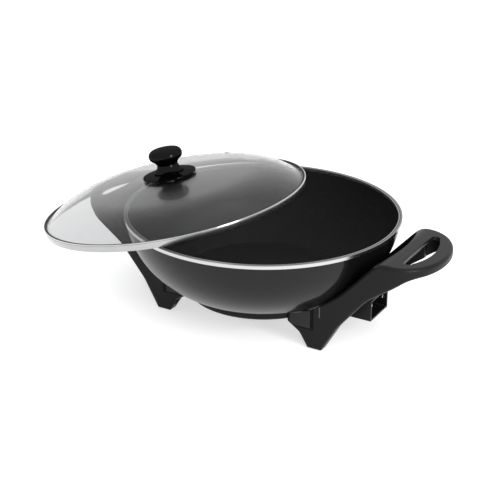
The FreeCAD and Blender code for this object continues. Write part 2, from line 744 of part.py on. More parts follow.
def make_handle_screws():
    screws, washers = [], []
    seat = f"{BOSS_BOTTOM} - screw_seat"
    for number, (x_sign, y_sign) in enumerate(side_positions()):
        place = {"x": f"{x_sign}{SCREW_X}", "y": f"{y_sign}{SCREW_Y}"}
        washer = cylinder(f"handle_washer_disc_{number}", "screw_head_radius", "washer_thickness",
                          z=f"{seat} - washer_thickness", **place)
        eye = cylinder(f"handle_washer_eye_{number}", "screw_radius + hole_clearance", "washer_thickness",
                       z=f"{seat} - washer_thickness", **place)
        washers.append(cut(f"handle_washer_{number}", washer, eye))
        head = cylinder(f"handle_head_{number}", "screw_head_radius - screw_head_step", "screw_head_height",
                        z=f"{seat} - washer_thickness - screw_head_height", **place)
        shaft = cylinder(f"handle_shaft_{number}", "screw_radius",
                         "washer_thickness + screw_seat + boss_length - screw_tip_gap",
                         z=f"{seat} - washer_thickness", **place)
        screws.append(fuse(f"handle_screw_{number}", [head, shaft]))
    node("handle_screws", group("handle_screw_set", screws))
    node("handle_washers", group("handle_washer_set", washers))


# ---------------------------------------------------------------- lid, drawn level with its band standing on Z = 0

LID_RADIUS = "(rim_radius - lid_inset)"
CROWN_FLAT = f"({LID_RADIUS} - shoulder_run)"
VENT_DISTANCE = f"({LID_RADIUS} - vent_inset)"
CROWN_TOP = "(band_height + crown_rise)"
CROWN_CENTRE = f"({CROWN_TOP} - crown_radius)"
EDGE_R = f"({LID_RADIUS} - glass_edge_inset)"
EDGE_TOP = "(band_height - band_sheet)"


def crown_point(radius, inset):
    """Point (r, z) of the glass's flat crown at a distance from the axis, taken inwards by an inset."""
    share = f"(({radius}) / crown_radius)"
    r_text = f"(({radius}) - ({inset}) * {share})"
    z_text = f"({CROWN_CENTRE} + (crown_radius - ({inset})) * sqrt(1 - {share}^2))"
    return r_text, z_text


def shoulder():
    """Radius and centre of the steep outer part of the glass, tangent to the crown."""
    radius_at = value(CROWN_FLAT) / size("crown_radius")
    start_r, start_z = (value(text) for text in crown_point(CROWN_FLAT, "0"))
    end_r, end_z = value(EDGE_R), value(EDGE_TOP)
    normal = (-radius_at, -math.sqrt(1 - radius_at ** 2))
    run, fall = end_r - start_r, end_z - start_z
    radius = (run ** 2 + fall ** 2) / (2 * (run * normal[0] + fall * normal[1]))
    return radius, (start_r + radius * normal[0], start_z + radius * normal[1])


def glass_height(radius, under=False):
    """Height of the glass's top or underside at a distance from the lid's axis."""
    inset = size("glass_thickness") if under else 0.0
    bend, (centre_r, centre_z) = shoulder()
    if radius <= value(CROWN_FLAT):
        return value(CROWN_CENTRE) + math.sqrt((size("crown_radius") - inset) ** 2 - radius ** 2)
    reach = (bend - inset) ** 2 - (radius - centre_r) ** 2
    return centre_z + math.sqrt(max(reach, 0.0))


def make_glass():
    bend, (centre_r, centre_z) = shoulder()
    thick = size("glass_thickness")
    outer = value(LID_RADIUS) - size("band_sheet") - size("hole_clearance")
    flat = value(CROWN_FLAT)
    top = value(EDGE_TOP)

    def on_shoulder(radius, inset):
        return Vector(radius, 0, centre_z + math.sqrt((bend - inset) ** 2 - (radius - centre_r) ** 2))

    def crown(radius, inset):
        r_text, z_text = crown_point(str(radius), str(inset))
        return Vector(value(r_text), 0, value(z_text))

    edge_top = Vector(value(EDGE_R), 0, top)
    inner_end = edge_top.x - thick * size("glass_lip_share")
    inner_bottom = on_shoulder(inner_end, thick)
    edges = [
        Part.LineSegment(Vector(0, 0, value(CROWN_TOP)), Vector(0, 0, value(CROWN_TOP) - thick)),
        Part.Arc(Vector(0, 0, value(CROWN_TOP) - thick), crown(flat / 2, thick), crown(flat, thick)),
        Part.Arc(crown(flat, thick), on_shoulder((flat + inner_end) / 2, thick), inner_bottom),
        Part.LineSegment(inner_bottom, Vector(outer, 0, top - thick)),
        Part.LineSegment(Vector(outer, 0, top - thick), Vector(outer, 0, top)),
        Part.LineSegment(Vector(outer, 0, top), edge_top),
        Part.Arc(edge_top, on_shoulder((flat + edge_top.x) / 2, 0), crown(flat, 0)),
        Part.Arc(crown(flat, 0), crown(flat / 2, 0), Vector(0, 0, value(CROWN_TOP))),
    ]
    face = Part.Face(Part.Wire([edge.toShape() for edge in edges]))
    solid = face.revolve(Vector(), Vector(0, 0, 1), 360)
    vent, square = vent_axis()
    drill = Part.makeCylinder(size("vent_radius") + size("eyelet_wall"), 8 * thick, vent - square * 4 * thick,
                              square)
    middle = Part.makeCylinder(size("knob_screw_radius") + size("hole_clearance"), 2 * value(CROWN_TOP))
    return solid.cut([drill, middle])


def make_band():
    return turned("band", [
        (f"{LID_RADIUS} - band_sheet", "0", None),
        (LID_RADIUS, "0", None),
        (LID_RADIUS, "band_height", None),
        (f"{LID_RADIUS} - band_lip", "band_height", None),
        (f"{LID_RADIUS} - band_lip", "band_height - band_sheet", None),
        (f"{LID_RADIUS} - band_sheet", "band_height - band_sheet", None),
    ])


def vent_axis():
    """Middle of the vent on the glass's top, and the direction square to the glass there."""
    reach = value(VENT_DISTANCE)
    _, (centre_r, centre_z) = shoulder()
    high = glass_height(reach)
    square = Vector(reach - centre_r, 0, high - centre_z).normalize()
    turn = Rotation(Vector(0, 0, 1), size("vent_bearing"))
    return turn.multVec(Vector(reach, 0, high)), turn.multVec(square)


def make_eyelet():
    """Rolled steel eyelet that lines the steam vent, square to the glass."""
    middle, square = vent_axis()
    sheet, thick, bow = size("eyelet_sheet"), size("glass_thickness"), size("eyelet_bow")
    radius = size("vent_radius") + size("eyelet_wall")
    low = middle - square * (thick + bow + sheet)
    shape = Part.makeCylinder(radius, thick + 2 * (bow + sheet), low, square)
    for base in (low, middle + square * bow):
        shape = shape.fuse(Part.makeCylinder(radius + size("eyelet_flange") / 2, sheet, base, square))
    bore = Part.makeCylinder(size("vent_radius"), 8 * thick, middle - square * 4 * thick, square)
    return shape.cut(bore).removeSplitter()


def make_knob_stack():
    """Knob, finger disc, gasket, seal, plate and screw, one above the other on the glass."""
    glass_top, glass_under = CROWN_TOP, f"({CROWN_TOP} - glass_thickness)"
    bore = "(knob_screw_radius + hole_clearance)"
    gasket_top = f"({glass_top} + gasket_thickness)"
    disc_top = f"({gasket_top} + disc_thickness)"
    knob_top = f"({disc_top} + knob_height)"
    gasket = turned("gasket_ring", [
        (bore, glass_top, None), ("gasket_radius", glass_top, None),
        ("gasket_radius", gasket_top, None), (bore, gasket_top, None)])
    disc = turned("disc_ring", [
        (bore, gasket_top, None), ("disc_radius - disc_chamfer", gasket_top, None),
        ("disc_radius", f"{gasket_top} + disc_chamfer_height", None),
        ("disc_radius", f"{gasket_top} + disc_edge_height", None),
        ("knob_foot_radius + disc_step", disc_top, None), (bore, disc_top, None)])
    dome_radius, dome_rise = "(knob_radius - knob_dome_inset)", "knob_dome_rise"
    screw_room = f"({glass_under} + knob_screw_reach + overcut)"
    knob = turned("knob_body", [
        (bore, disc_top, None), ("knob_foot_radius", disc_top, None),
        ("knob_foot_radius", f"{disc_top} + knob_foot_height", "-knob_flare"),
        ("knob_neck_radius", f"{disc_top} + knob_neck_height", "-knob_throat"),
        ("knob_radius - knob_cheek_inset", f"{disc_top} + knob_cheek_height", "knob_cheek"),
        ("knob_radius", f"{disc_top} + knob_belly_height", "knob_shoulder"),
        (dome_radius, f"{knob_top} - {dome_rise}", f"({dome_radius}^2 + {dome_rise}^2) / (2 * {dome_rise})"),
        ("0", knob_top, None), ("0", screw_room, None), (bore, screw_room, None)])
    seal_bottom = f"({glass_under} - seal_thickness)"
    seal_top = f"({glass_under} - seal_gap)"
    seal = turned("seal_ring", [
        (bore, seal_bottom, None), ("seal_radius", seal_bottom, None),
        ("seal_radius", seal_top, None), (bore, seal_top, None)])
    plate_bottom = f"({seal_bottom} - plate_thickness)"
    plate = turned("plate_ring", [
        (bore, plate_bottom, None), ("plate_radius", plate_bottom, None),
        ("plate_radius", seal_bottom, None), (bore, seal_bottom, None)])
    head_bottom, head_radius = f"({plate_bottom} - knob_screw_head_height)", "knob_screw_head_radius"
    screw_top = f"({glass_under} + knob_screw_reach)"
    screw = turned("knob_screw_body", [
        ("0", head_bottom, None), (f"{head_radius} - knob_screw_chamfer", head_bottom, None),
        (head_radius, f"{head_bottom} + knob_screw_chamfer", None), (head_radius, plate_bottom, None),
        ("knob_screw_radius", plate_bottom, None), ("knob_screw_radius", screw_top, None),
        ("0", screw_top, None)])
    return {"knob_gasket": gasket, "knob_disc": disc, "knob": knob, "knob_seal": seal,
            "knob_plate": plate, "knob_screw": screw}


def leaning(tilt):
    """Placement of the lid for one tilt, its band one lid gap above the pan's rim where the two cross."""
    azimuth = math.radians(size("lean_azimuth"))
    shift, inner = size("lean_shift"), value(LID_RADIUS) - size("band_sheet")
    spin = Rotation(Vector(-math.sin(azimuth), math.cos(azimuth), 0), math.degrees(tilt))
    middle = Vector(shift * math.cos(azimuth), shift * math.sin(azimuth), 0)
    edge = [middle + spin.multVec(Vector(inner * math.cos(a), inner * math.sin(a), 0))
            for a in (math.tau * step / 1440 for step in range(1440))]
    lowest = min(point.z for point in edge if math.hypot(point.x, point.y) <= size("rim_radius"))
    middle.z = size("rim_top") + size("lid_gap") - lowest
    return Placement(middle, spin)


def lean_placement(support):
    """The lid tipped until its glass lies just above the left handle, by halving an interval."""
    fineness, slack = 0.3, 0.1
    tip_bottom = value(HANDLE_TOP) - size("loop_thickness")
    tip_points = [point for point in support.tessellate(fineness)[0] if point.z > tip_bottom]
    low, high = math.radians(4), math.radians(20)
    for _ in range(16):
        tilt = (low + high) / 2
        back = leaning(tilt).inverse()
        local = [back.multVec(point) for point in tip_points]
        room = min(glass_height(math.hypot(p.x, p.y), under=True) - p.z for p in local)
        if room > size("lid_gap") + slack:
            low = tilt
        else:
            high = tilt
    return leaning(low)


# ---------------------------------------------------------------- assembly

pan_clearance = turned("pan_clearance", pan_outline("seat_gap"))
make_pan()
element_tube = make_element()
make_sensor_well()
make_casting(element_tube)
make_heater_fasteners()
make_terminals()
make_terminal_block()
make_guard()
doc.recompute()
make_handle("right_handle", False)
make_handle("left_handle", True)
make_handle_screws()

lid_glass = fixed_shape("glass", make_glass())
lean = lean_placement(nodes["left_handle"].Shape)
lid_things = {
    "lid_glass": lid_glass,
    "lid_band": make_band(),
    "vent_eyelet": fixed_shape("eyelet", make_eyelet()),
    **make_knob_stack(),
}
for name, thing in lid_things.items():
    thing.Placement = lean
    node(name, thing)

doc.recompute()
faults = [thing.Name for thing in doc.Objects if {"Invalid", "Error"} & set(thing.State)]
faults += [name for name, thing in nodes.items() if thing.Shape.isNull() or not thing.Shape.isValid()]
if faults:
    raise RuntimeError(f"these did not build: {faults}")

os.makedirs("parts", exist_ok=True)
for name, thing in nodes.items():
    thing.Shape.exportStep(f"parts/{name}.step")
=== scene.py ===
"""Electric wok with its glass lid resting ajar: finishes, fine shapes, light and camera."""

import json
import math

import bpy
import numpy as np
from mathutils import Matrix, Vector


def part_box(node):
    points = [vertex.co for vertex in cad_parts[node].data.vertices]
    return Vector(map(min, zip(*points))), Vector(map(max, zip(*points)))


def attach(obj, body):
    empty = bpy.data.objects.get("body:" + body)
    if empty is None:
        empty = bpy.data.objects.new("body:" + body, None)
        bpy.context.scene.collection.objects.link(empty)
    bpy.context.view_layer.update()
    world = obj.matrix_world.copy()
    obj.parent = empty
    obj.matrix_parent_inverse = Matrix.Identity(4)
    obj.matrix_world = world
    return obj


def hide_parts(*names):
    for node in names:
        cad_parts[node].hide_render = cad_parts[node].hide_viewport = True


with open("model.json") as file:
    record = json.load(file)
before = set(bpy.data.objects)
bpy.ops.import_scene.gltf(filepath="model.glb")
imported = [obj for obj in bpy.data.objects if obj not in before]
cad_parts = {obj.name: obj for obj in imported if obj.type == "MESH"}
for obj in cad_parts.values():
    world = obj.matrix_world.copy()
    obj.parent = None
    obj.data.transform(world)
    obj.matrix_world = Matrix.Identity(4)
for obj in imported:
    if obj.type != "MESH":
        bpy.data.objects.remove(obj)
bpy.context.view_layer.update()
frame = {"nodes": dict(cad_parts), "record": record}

MM = 0.001
NODES = frame["nodes"]
SLOT_OF = {part["node"]: part["material_slot"] for part in frame["record"]["subparts"]}

# bare lip ring: starts of its painted shade band and painted highlight, as shares of its width from outside
RIM_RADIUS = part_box("pan_bowl")[1].x
RIM_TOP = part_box("pan_bowl")[1].z
RING_WIDTH = 4.6 * MM
RING_HEIGHT = 3.8 * MM
SHADE_BAND_START = 0.5
HIGHLIGHT_START = 0.72

# painted light and shade on each leg pad's outer side: lit-looking face, shaded outline, highlight stripe
LEG_SIDE = 64 * MM
SIDE_MARGIN = 0.3 * MM
PAD_START = 72 * MM
PAD_END = 99 * MM
PAD_BOTTOM = 26 * MM
PAD_TOP = 41 * MM
PAD_SLOPE = 0.3
PAD_EDGE = 0.5 * MM
PAD_JOINT = 1.4 * MM
PAD_END_JOINT = 4.2 * MM
TICK_PLACE = 110.5 * MM
TICK_HALF = 0.6 * MM
TICK_EDGE = 0.2 * MM
TICK_BOTTOM = 43 * MM
TICK_TOP = 56 * MM

# edges painted lighter as highlights: how wide on plastic and on paint, and, on the handles, how far
# from the outer side and from what height
EDGE_SOFTNESS = 2 * MM
PAINT_SOFTNESS = 0.8 * MM
EDGE_REACH = 5 * MM
EDGE_BOTTOM = 40 * MM

# lid band in its own frame: heights are above its lower edge, and the draft is in degrees
BAND_RADIUS = 163 * MM
BAND_HEIGHT = 9 * MM
BAND_LIP = 3.8 * MM
BAND_BRIGHT = 1.0 * MM
BAND_SHEET = 1 * MM
BAND_DRAFT = 10.0
BAND_BEND = 0.3 * MM
BAND_STEPS = 360
LIP_DROP = 0.1 * MM
BEAD_HEIGHT = 1.7 * MM
BEAD_LEAN = 0.2 * MM
BEAD_START = 0.8 * MM
SEAM_DEPTH = 0.5 * MM
SEAM_START = 0.3 * MM
SEAM_END = 0.5 * MM
# painted shade on the band's outer face, dimmer than its bead
FACE_SHADE = 0.3

# camera: distance and aim in metres, angles in degrees, lens and sensor in millimetres
CAMERA_DISTANCE = 1.5062
CAMERA_TURN = 30.047
CAMERA_RISE = 23.396
CAMERA_ROLL = 0.302
CAMERA_AIM = (-0.0273, 0.01625, 0.06678)
LENS = 87.966
SENSOR = 36.0

# room: the floor's half width in metres, its tone and glow, the world's light on what it lights,
# and the share of its light that a mirrored lamp gives to matte things
FLOOR_HALF = 40.0
FLOOR_TONE = 0.66
FLOOR_GLOW = 0.60
WORLD_LIGHT = 0.55
MIRRORED_SHARE = 0.12


# ---------------------------------------------------------------- shader maths

class Signal:
    """An output socket of a material. Operators and methods add the nodes that work on it."""

    def __init__(self, tree, socket=None):
        self.tree = tree
        self.socket = socket

    def add(self, kind, inputs=None, output=0, **settings):
        """Adds a node: settings first, then each input by name or number. Gives one of its outputs."""
        node = self.tree.nodes.new(kind)
        for name, setting in settings.items():
            setattr(node, name, setting)
        for key, value in (inputs or {}).items():
            if isinstance(value, Signal):
                self.tree.links.new(value.socket, node.inputs[key])
            else:
                node.inputs[key].default_value = value
        return Signal(self.tree, node.outputs[output])

    def maths(self, operation, *others):
        """A maths node that works on this signal and the others, in that order."""
        return self.add("ShaderNodeMath", dict(enumerate((self, *others))), operation=operation)

    def __add__(self, other):
        return self.maths("ADD", other)

    def __sub__(self, other):
        return self.maths("SUBTRACT", other)

    def __rsub__(self, other):
        return self * -1 + other

    def __mul__(self, other):
        return self.maths("MULTIPLY", other)

    def __truediv__(self, other):
        return self.maths("DIVIDE", other)

    def __pow__(self, other):
        return self.maths("POWER", other)

    def __gt__(self, other):
        return self.maths("GREATER_THAN", other)

    def __lt__(self, other):
        return self.maths("LESS_THAN", other)

    __radd__ = __add__
    __rmul__ = __mul__

    def larger(self, other):
        """The larger of this and another number."""
        return self.maths("MAXIMUM", other)

    def size(self):
        """The number without its sign."""
        return self.maths("ABSOLUTE")

    def ease(self, start, end, low=0.0, high=1.0):
        """Goes smoothly from low at start to high at end."""
        inputs = {"Value": self, "From Min": start, "From Max": end, "To Min": low, "To Max": high}
        return self.add("ShaderNodeMapRange", inputs, interpolation_type="SMOOTHSTEP")

    def band(self, low, high, soft):
        """1 between low and high, with soft edges."""
        return self.ease(low - soft, low + soft) * self.ease(high - soft, high + soft, 1.0, 0.0)

    def parts(self):
        """The x, y and z of a vector."""
        node = self.add("ShaderNodeSeparateXYZ", {"Vector": self}).socket.node
        return [Signal(self.tree, output) for output in node.outputs]

    def noise(self, scale, detail=2.0, roughness=0.5):
        """Noise at this place, with about so many bumps in a metre."""
        inputs = {"Vector": self, "Scale": scale, "Detail": detail, "Roughness": roughness}
        return self.add("ShaderNodeTexNoise", inputs)

    def blend(self, first, second):
        """Colour that goes from first to second as this signal goes from 0 to 1."""
        return self.add("ShaderNodeMix", {0: self, 6: first, 7: second}, output=2, data_type="RGBA")

    def softened(self, radius):
        """Normal rounded over the edges within a radius, and how far it turns there, from 0 to 1."""
        least_turn, full_turn = 0.98, 0.85  # cosines
        normal = self.add("ShaderNodeBevel", {"Radius": radius}, samples=6)
        plain = self.add("ShaderNodeNewGeometry", output="True Normal")
        both = {0: normal, 1: plain}
        cosine = self.add("ShaderNodeVectorMath", both, output="Value", operation="DOT_PRODUCT")
        return normal, cosine.ease(least_turn, full_turn)

    def bump(self, depth, strength=1.0, **base):
        """Normal of a surface of this height, depth metres high at 1. Its base normal is optional."""
        inputs = {"Height": self, "Distance": depth, "Strength": strength}
        inputs.update((words.title(), signal) for words, signal in base.items())
        return self.add("ShaderNodeBump", inputs)


def gray(level, warmth=0.0):
    """A near-neutral colour of one level, a little warm or cool."""
    return (level * (1 + warmth), level, level * (1 - warmth), 1.0)


class Finish:
    """A material with its Principled shader. Constants are set on the shader's own sockets."""

    def __init__(self, name, **constants):
        self.material = bpy.data.materials.new(name)
        self.material.use_nodes = True
        self.tree = self.material.node_tree
        self.shader = self.tree.nodes["Principled BSDF"]
        for words, value in constants.items():
            self.input(words).default_value = value
        self.start = Signal(self.tree)
        self.place = self.start.add("ShaderNodeTexCoord", output="Object")

    def input(self, words):
        """The shader's socket of a name written as plain words."""
        return self.shader.inputs[words.replace("_", " ").title().replace("Ior", "IOR")]

    def feed(self, **signals):
        """Links signals to the shader's sockets and gives the material."""
        for words, signal in signals.items():
            self.tree.links.new(signal.socket, self.input(words))
        return self.material


# ---------------------------------------------------------------- finishes

def pan_metal():
    """Satin gray coat outside, black non-stick lining inside, and a bright bare ring around the lip.

    A face is lining where it looks up or towards the axis. The ring's top is painted darker than its
    side as painted shade, and on it a black band of painted shade leaves a thin painted highlight inside.
    """
    coat_rough, lining_rough, bare_rough = 0.28, 0.48, 0.18
    # bare ring tones: side painted lighter, top painted darker, a painted shade band and a painted
    # highlight
    lit_side_tone, shaded_top_tone, shade_band_tone, highlight_tone = 0.95, 0.44, 0.04, 0.66
    turning_waves, turning_rough = 5200, 0.05  # waves in radians a metre
    made = Finish("pan_metal", coat_roughness=0.05, specular_ior_level=0.05)
    x, y, height = made.place.parts()
    radius = (x * x + y * y) ** 0.5
    facing = made.start.add("ShaderNodeTexCoord", output="Normal").parts()
    inward = (facing[0] * x + facing[1] * y) / radius.larger(1 * MM) * -1
    inside = ((facing[2] > 0.02) * (inward > -0.05)).larger(inward > 0.5)
    ring = (height > RIM_TOP - RING_HEIGHT) * (radius > RIM_RADIUS - RING_WIDTH)
    fine = made.place.noise(2600, 2)
    cloud = made.place.noise(30, 3)
    speck = made.place.noise(900, 1).ease(0.66, 0.72)
    outer = cloud.blend(gray(0.004), gray(0.006))
    inner = speck.blend(gray(0.010), gray(0.03))
    across = (RIM_RADIUS - radius) / RING_WIDTH
    # painted shade: a black band on the ring's top; painted highlight: a brighter ring inside it
    shade_band = (across > SHADE_BAND_START) * (shade_band_tone - shaded_top_tone)
    highlight_line = (across > HIGHLIGHT_START) * (highlight_tone - shade_band_tone)
    flat = facing[2] > 0.7
    tone = flat * (shade_band + highlight_line + shaded_top_tone) + (1 - flat) * lit_side_tone
    bare = tone.blend(gray(0.01), gray(0.56))
    turning = ((radius * turning_waves).maths("SINE") * 0.5 + 0.5) * turning_rough
    rough = ring * (bare_rough - coat_rough) + inside * (lining_rough - coat_rough) + coat_rough
    return made.feed(
        base_color=ring.blend(inside.blend(outer, inner), bare),
        metallic=ring,
        roughness=rough + fine * 0.04 + turning * ring,
        coat_weight=(1 - ring) * (1 - inside) * 0.42,
        normal=(fine * 0.5 + cloud).bump(0.06 * MM, 0.5),
    )


def moulded(name, level, roughness, grain, depth, gloss=0.5, **polish):
    """Moulded plastic or clay of a gray level: a fine grain in its skin and a slow change in its tone."""
    made = Finish(name, specular_ior_level=gloss, **polish)
    skin = made.place.noise(grain, 3, 0.6)
    slow = made.place.noise(24, 2)
    return made.feed(
        base_color=slow.blend(gray(level * 0.9), gray(level * 1.12)),
        roughness=slow * 0.06 + skin * 0.08 + (roughness - 0.07),
        normal=skin.bump(depth),
    )


def pad_light_and_shade(place):
    """Masks of painted light and shade on the legs' pads: lit-looking face, shaded outline, highlight
    stripe.

    They are regions of |x| and z on the legs' outer sides. The lit-looking face's upper edge climbs
    outwards.
    """
    x, y, z = place.parts()
    along, side = x.size(), y.size()
    outer_side = side > LEG_SIDE - SIDE_MARGIN
    top = (along - PAD_START) * PAD_SLOPE + PAD_TOP
    inside = along.ease(PAD_START, PAD_START + PAD_EDGE) * (PAD_END - along).ease(0, PAD_EDGE)
    inside = inside * (z - PAD_BOTTOM).ease(0, PAD_EDGE) * (top - z).ease(0, PAD_EDGE)
    grown = (along > PAD_START - PAD_JOINT) * (along < PAD_END + PAD_END_JOINT)
    grown = grown * (z > PAD_BOTTOM - PAD_JOINT) * (z < top + PAD_JOINT)
    highlight_tick = (along - TICK_PLACE).band(-TICK_HALF, TICK_HALF, TICK_EDGE)
    highlight_tick = highlight_tick * z.band(TICK_BOTTOM, TICK_TOP, PAD_EDGE)
    return inside * outer_side, grown * outer_side * (1 - inside), highlight_tick * outer_side


def handle_skin():
    """Legs' and handles' plastic: painted highlights on edges, painted light and shade on each leg's pad.
    """
    panel_light, tick_light = 0.05, 0.3
    made = Finish("handle_plastic", specular_ior_level=0.15)
    skin = made.place.noise(1400, 3, 0.6)
    slow = made.place.noise(24, 2)
    normal, edge = made.start.softened(EDGE_SOFTNESS)
    lit_panel, joint_shade, highlight_tick = pad_light_and_shade(made.place)
    side, height = made.place.parts()[1:]
    # painted highlight along the edges of the handles' outer sides, above a height
    edge_highlight = edge * (side.size() > LEG_SIDE - EDGE_REACH) * (height > EDGE_BOTTOM)
    plain = slow.blend(gray(0.007), gray(0.009))
    # painted light: the pad's lit-looking face, its highlight stripe and the edge highlights, towards light
    # gray
    painted_light = (lit_panel * panel_light + highlight_tick * tick_light + edge_highlight).blend(plain, gray(0.40))
    return made.feed(
        # painted shade: a black outline around the pad's lit-looking face
        base_color=joint_shade.blend(painted_light, gray(0.001)),
        roughness=slow * 0.06 + skin * 0.08 + joint_shade * 0.4 + 0.29,
        normal=skin.bump(0.03 * MM, normal=normal),
    )


def metal(name, colour, roughness):
    """Bare metal with fine marks and slow stains."""
    made = Finish(name, metallic=1.0)
    marks = made.place.noise(400, 4, 0.6)
    stain = made.place.noise(60, 3)
    dark = tuple(0.82 * c for c in colour[:3]) + (1.0,)
    return made.feed(
        base_color=stain.blend(dark, colour),
        roughness=marks * 0.14 + stain * 0.08 + (roughness - 0.1),
        normal=marks.bump(0.01 * MM),
    )


def band_steel():
    """Polished steel. The attribute shade darkens it as painted shade: black at 1, a shadowed gap by the
    glass.
    """
    made = Finish("band_steel", metallic=1.0)
    marks = made.place.noise(500, 3, 0.6)
    stain = made.place.noise(40, 2)
    shade = made.start.add("ShaderNodeAttribute", output="Fac", attribute_name="shade")
    steel = stain.blend(gray(0.56), gray(0.66))
    return made.feed(
        base_color=shade.blend(steel, gray(0.003)),
        roughness=marks * 0.06 + stain * 0.04 + shade * 0.4 + 0.06,
        normal=marks.bump(0.001 * MM),
    )


def painted(name, level, roughness):
    """Black heat-proof paint on metal, with a light orange-peel skin and edges painted lighter as
    highlights.
    """
    made = Finish(name, specular_ior_level=0.18)
    peel = made.place.noise(700, 2)
    dust = made.place.noise(80, 4)
    normal, edge = made.start.softened(PAINT_SOFTNESS)
    return made.feed(
        # edges painted light gray as a painted highlight
        base_color=edge.blend(dust.blend(gray(level * 0.8), gray(level * 1.3)), gray(0.12)),
        roughness=dust * 0.12 + (roughness - 0.05),
        normal=peel.bump(0.05 * MM, normal=normal),
    )


def glass():
    """Clear toughened glass, a little gray, darker where it is seen edge-on. Lamps shine through it."""
    made = Finish("lid_glass", transmission_weight=1.0, ior=1.14, roughness=0.0,
                  coat_roughness=0.35, coat_ior=1.32)
    haze = made.place.noise(22, 3)
    slant = made.start.add("ShaderNodeLayerWeight", {"Blend": 0.5}, output="Facing")
    edge_on = slant.ease(0.88, 0.99)
    material = made.feed(
        base_color=edge_on.blend(haze.blend(gray(0.54, -0.01), gray(0.60, -0.01)), gray(0.30)),
        coat_weight=1 - edge_on * 0.8,
    )
    clear = made.start.add("ShaderNodeBsdfTransparent", {"Color": gray(0.72)})
    shadow_ray = made.start.add("ShaderNodeLightPath", output="Is Shadow Ray")
    both = {0: shadow_ray, 1: Signal(made.tree, made.shader.outputs[0]), 2: clear}
    mixed = made.start.add("ShaderNodeMixShader", both)
    made.tree.links.new(mixed.socket, made.tree.nodes["Material Output"].inputs["Surface"])
    return material


FINISHES = {
    "pan_metal": pan_metal(),
    "casting_metal": painted("casting_metal", level=0.005, roughness=0.5),
    "element_steel": metal("element_steel", colour=(0.42, 0.38, 0.33, 1), roughness=0.42),
    "ceramic": moulded("ceramic", level=0.75, roughness=0.7, grain=1500, depth=0.03 * MM),
    "plated_brass": metal("plated_brass", colour=(0.80, 0.78, 0.74, 1), roughness=0.18),
    "block_plastic": moulded(
        "block_plastic", level=0.02, roughness=0.6, grain=1200, depth=0.03 * MM, gloss=0.3),
    "guard_metal": painted("guard_metal", level=0.007, roughness=0.35),
    "fastener_steel": metal("fastener_steel", colour=(0.62, 0.62, 0.60, 1), roughness=0.3),
    "handle_plastic": handle_skin(),
    "lid_glass": glass(),
    "band_steel": band_steel(),
    "knob_plastic": moulded(
        "knob_plastic", level=0.001, roughness=0.16, grain=900, depth=0.004 * MM, gloss=0.0,
        coat_weight=0.07, coat_ior=2.4, coat_roughness=0.05),
    "seal_rubber": moulded(
        "seal_rubber", level=0.02, roughness=0.75, grain=1800, depth=0.04 * MM, gloss=0.3),
}

for node, piece in NODES.items():
    piece.data.materials.clear()
    piece.data.materials.append(FINISHES[SLOT_OF[node]])


# ---------------------------------------------------------------- lid band

def lid_place():
    """Matrix from the lid's own frame to the scene: its Z is the band's axis, from the lower edge's middle.

    The axis is the direction in which the band's corner points spread least, counted once each.
    """
    mesh = NODES["lid_band"].data
    points = np.empty(len(mesh.vertices) * 3)
    mesh.vertices.foreach_get("co", points)
    points = np.unique(points.reshape(-1, 3).round(6), axis=0)
    edge_margin = 0.2 * MM
    axis = np.linalg.svd(points - points.mean(axis=0), full_matrices=False)[2][2]
    axis *= np.sign(axis[2])
    heights = points @ axis
    low = points[heights < heights.min() + edge_margin]
    side = np.cross((0, 1, 0), axis)
    side /= np.linalg.norm(side)
    place = np.eye(4)
    place[:3, :3] = np.column_stack((side, np.cross(axis, side), axis))
    place[:3, 3] = (low.max(axis=0) + low.min(axis=0)) / 2
    return place


def placed(name, content):
    """A new object with a mesh, lamp or camera, in the scene."""
    thing = bpy.data.objects.new(name, content)
    bpy.context.scene.collection.objects.link(thing)
    return thing


def revolved(name, profile, place, steps):
    """A closed profile carried round an axis.

    Point (angle, i) is (radius[i] cos angle, radius[i] sin angle, height[i]), moved by the matrix place.
    """
    angle = np.linspace(0, math.tau, steps, endpoint=False)[:, None]
    radius, height = profile.T
    points = np.stack(np.broadcast_arrays(radius * np.cos(angle), radius * np.sin(angle), height), axis=-1)
    points = points.reshape(-1, 3) @ place[:3, :3].T + place[:3, 3]
    number = np.arange(steps * len(radius)).reshape(steps, -1)
    onward = np.roll(number, -1, axis=0)
    faces = np.stack((number, onward, np.roll(onward, -1, axis=1), np.roll(number, -1, axis=1)), axis=-1)
    mesh = bpy.data.meshes.new(name)
    mesh.from_pydata(points, [], faces.reshape(-1, 4))
    return placed(name, mesh)


def rounded(corners, bend, steps=5):
    """A closed outline with each corner replaced by a short curve.

    The curve is (1 - t)^2 a + 2 t (1 - t) corner + t^2 b, from a to b, each a bend away along its own
    edge, or 0.45 of the edge where that is less.
    """
    corners = np.asarray(corners, float)
    share = np.linspace(0, 1, steps)[:, None, None]
    reach = []
    for other in (np.roll(corners, 1, axis=0), np.roll(corners, -1, axis=0)):
        span = other - corners
        length = np.linalg.norm(span, axis=1, keepdims=True)
        reach.append(corners + span / length * np.minimum(bend, length * 0.45))
    curve = (1 - share) ** 2 * reach[0] + 2 * share * (1 - share) * corners + share ** 2 * reach[1]
    return curve.transpose(1, 0, 2).reshape(-1, 2)


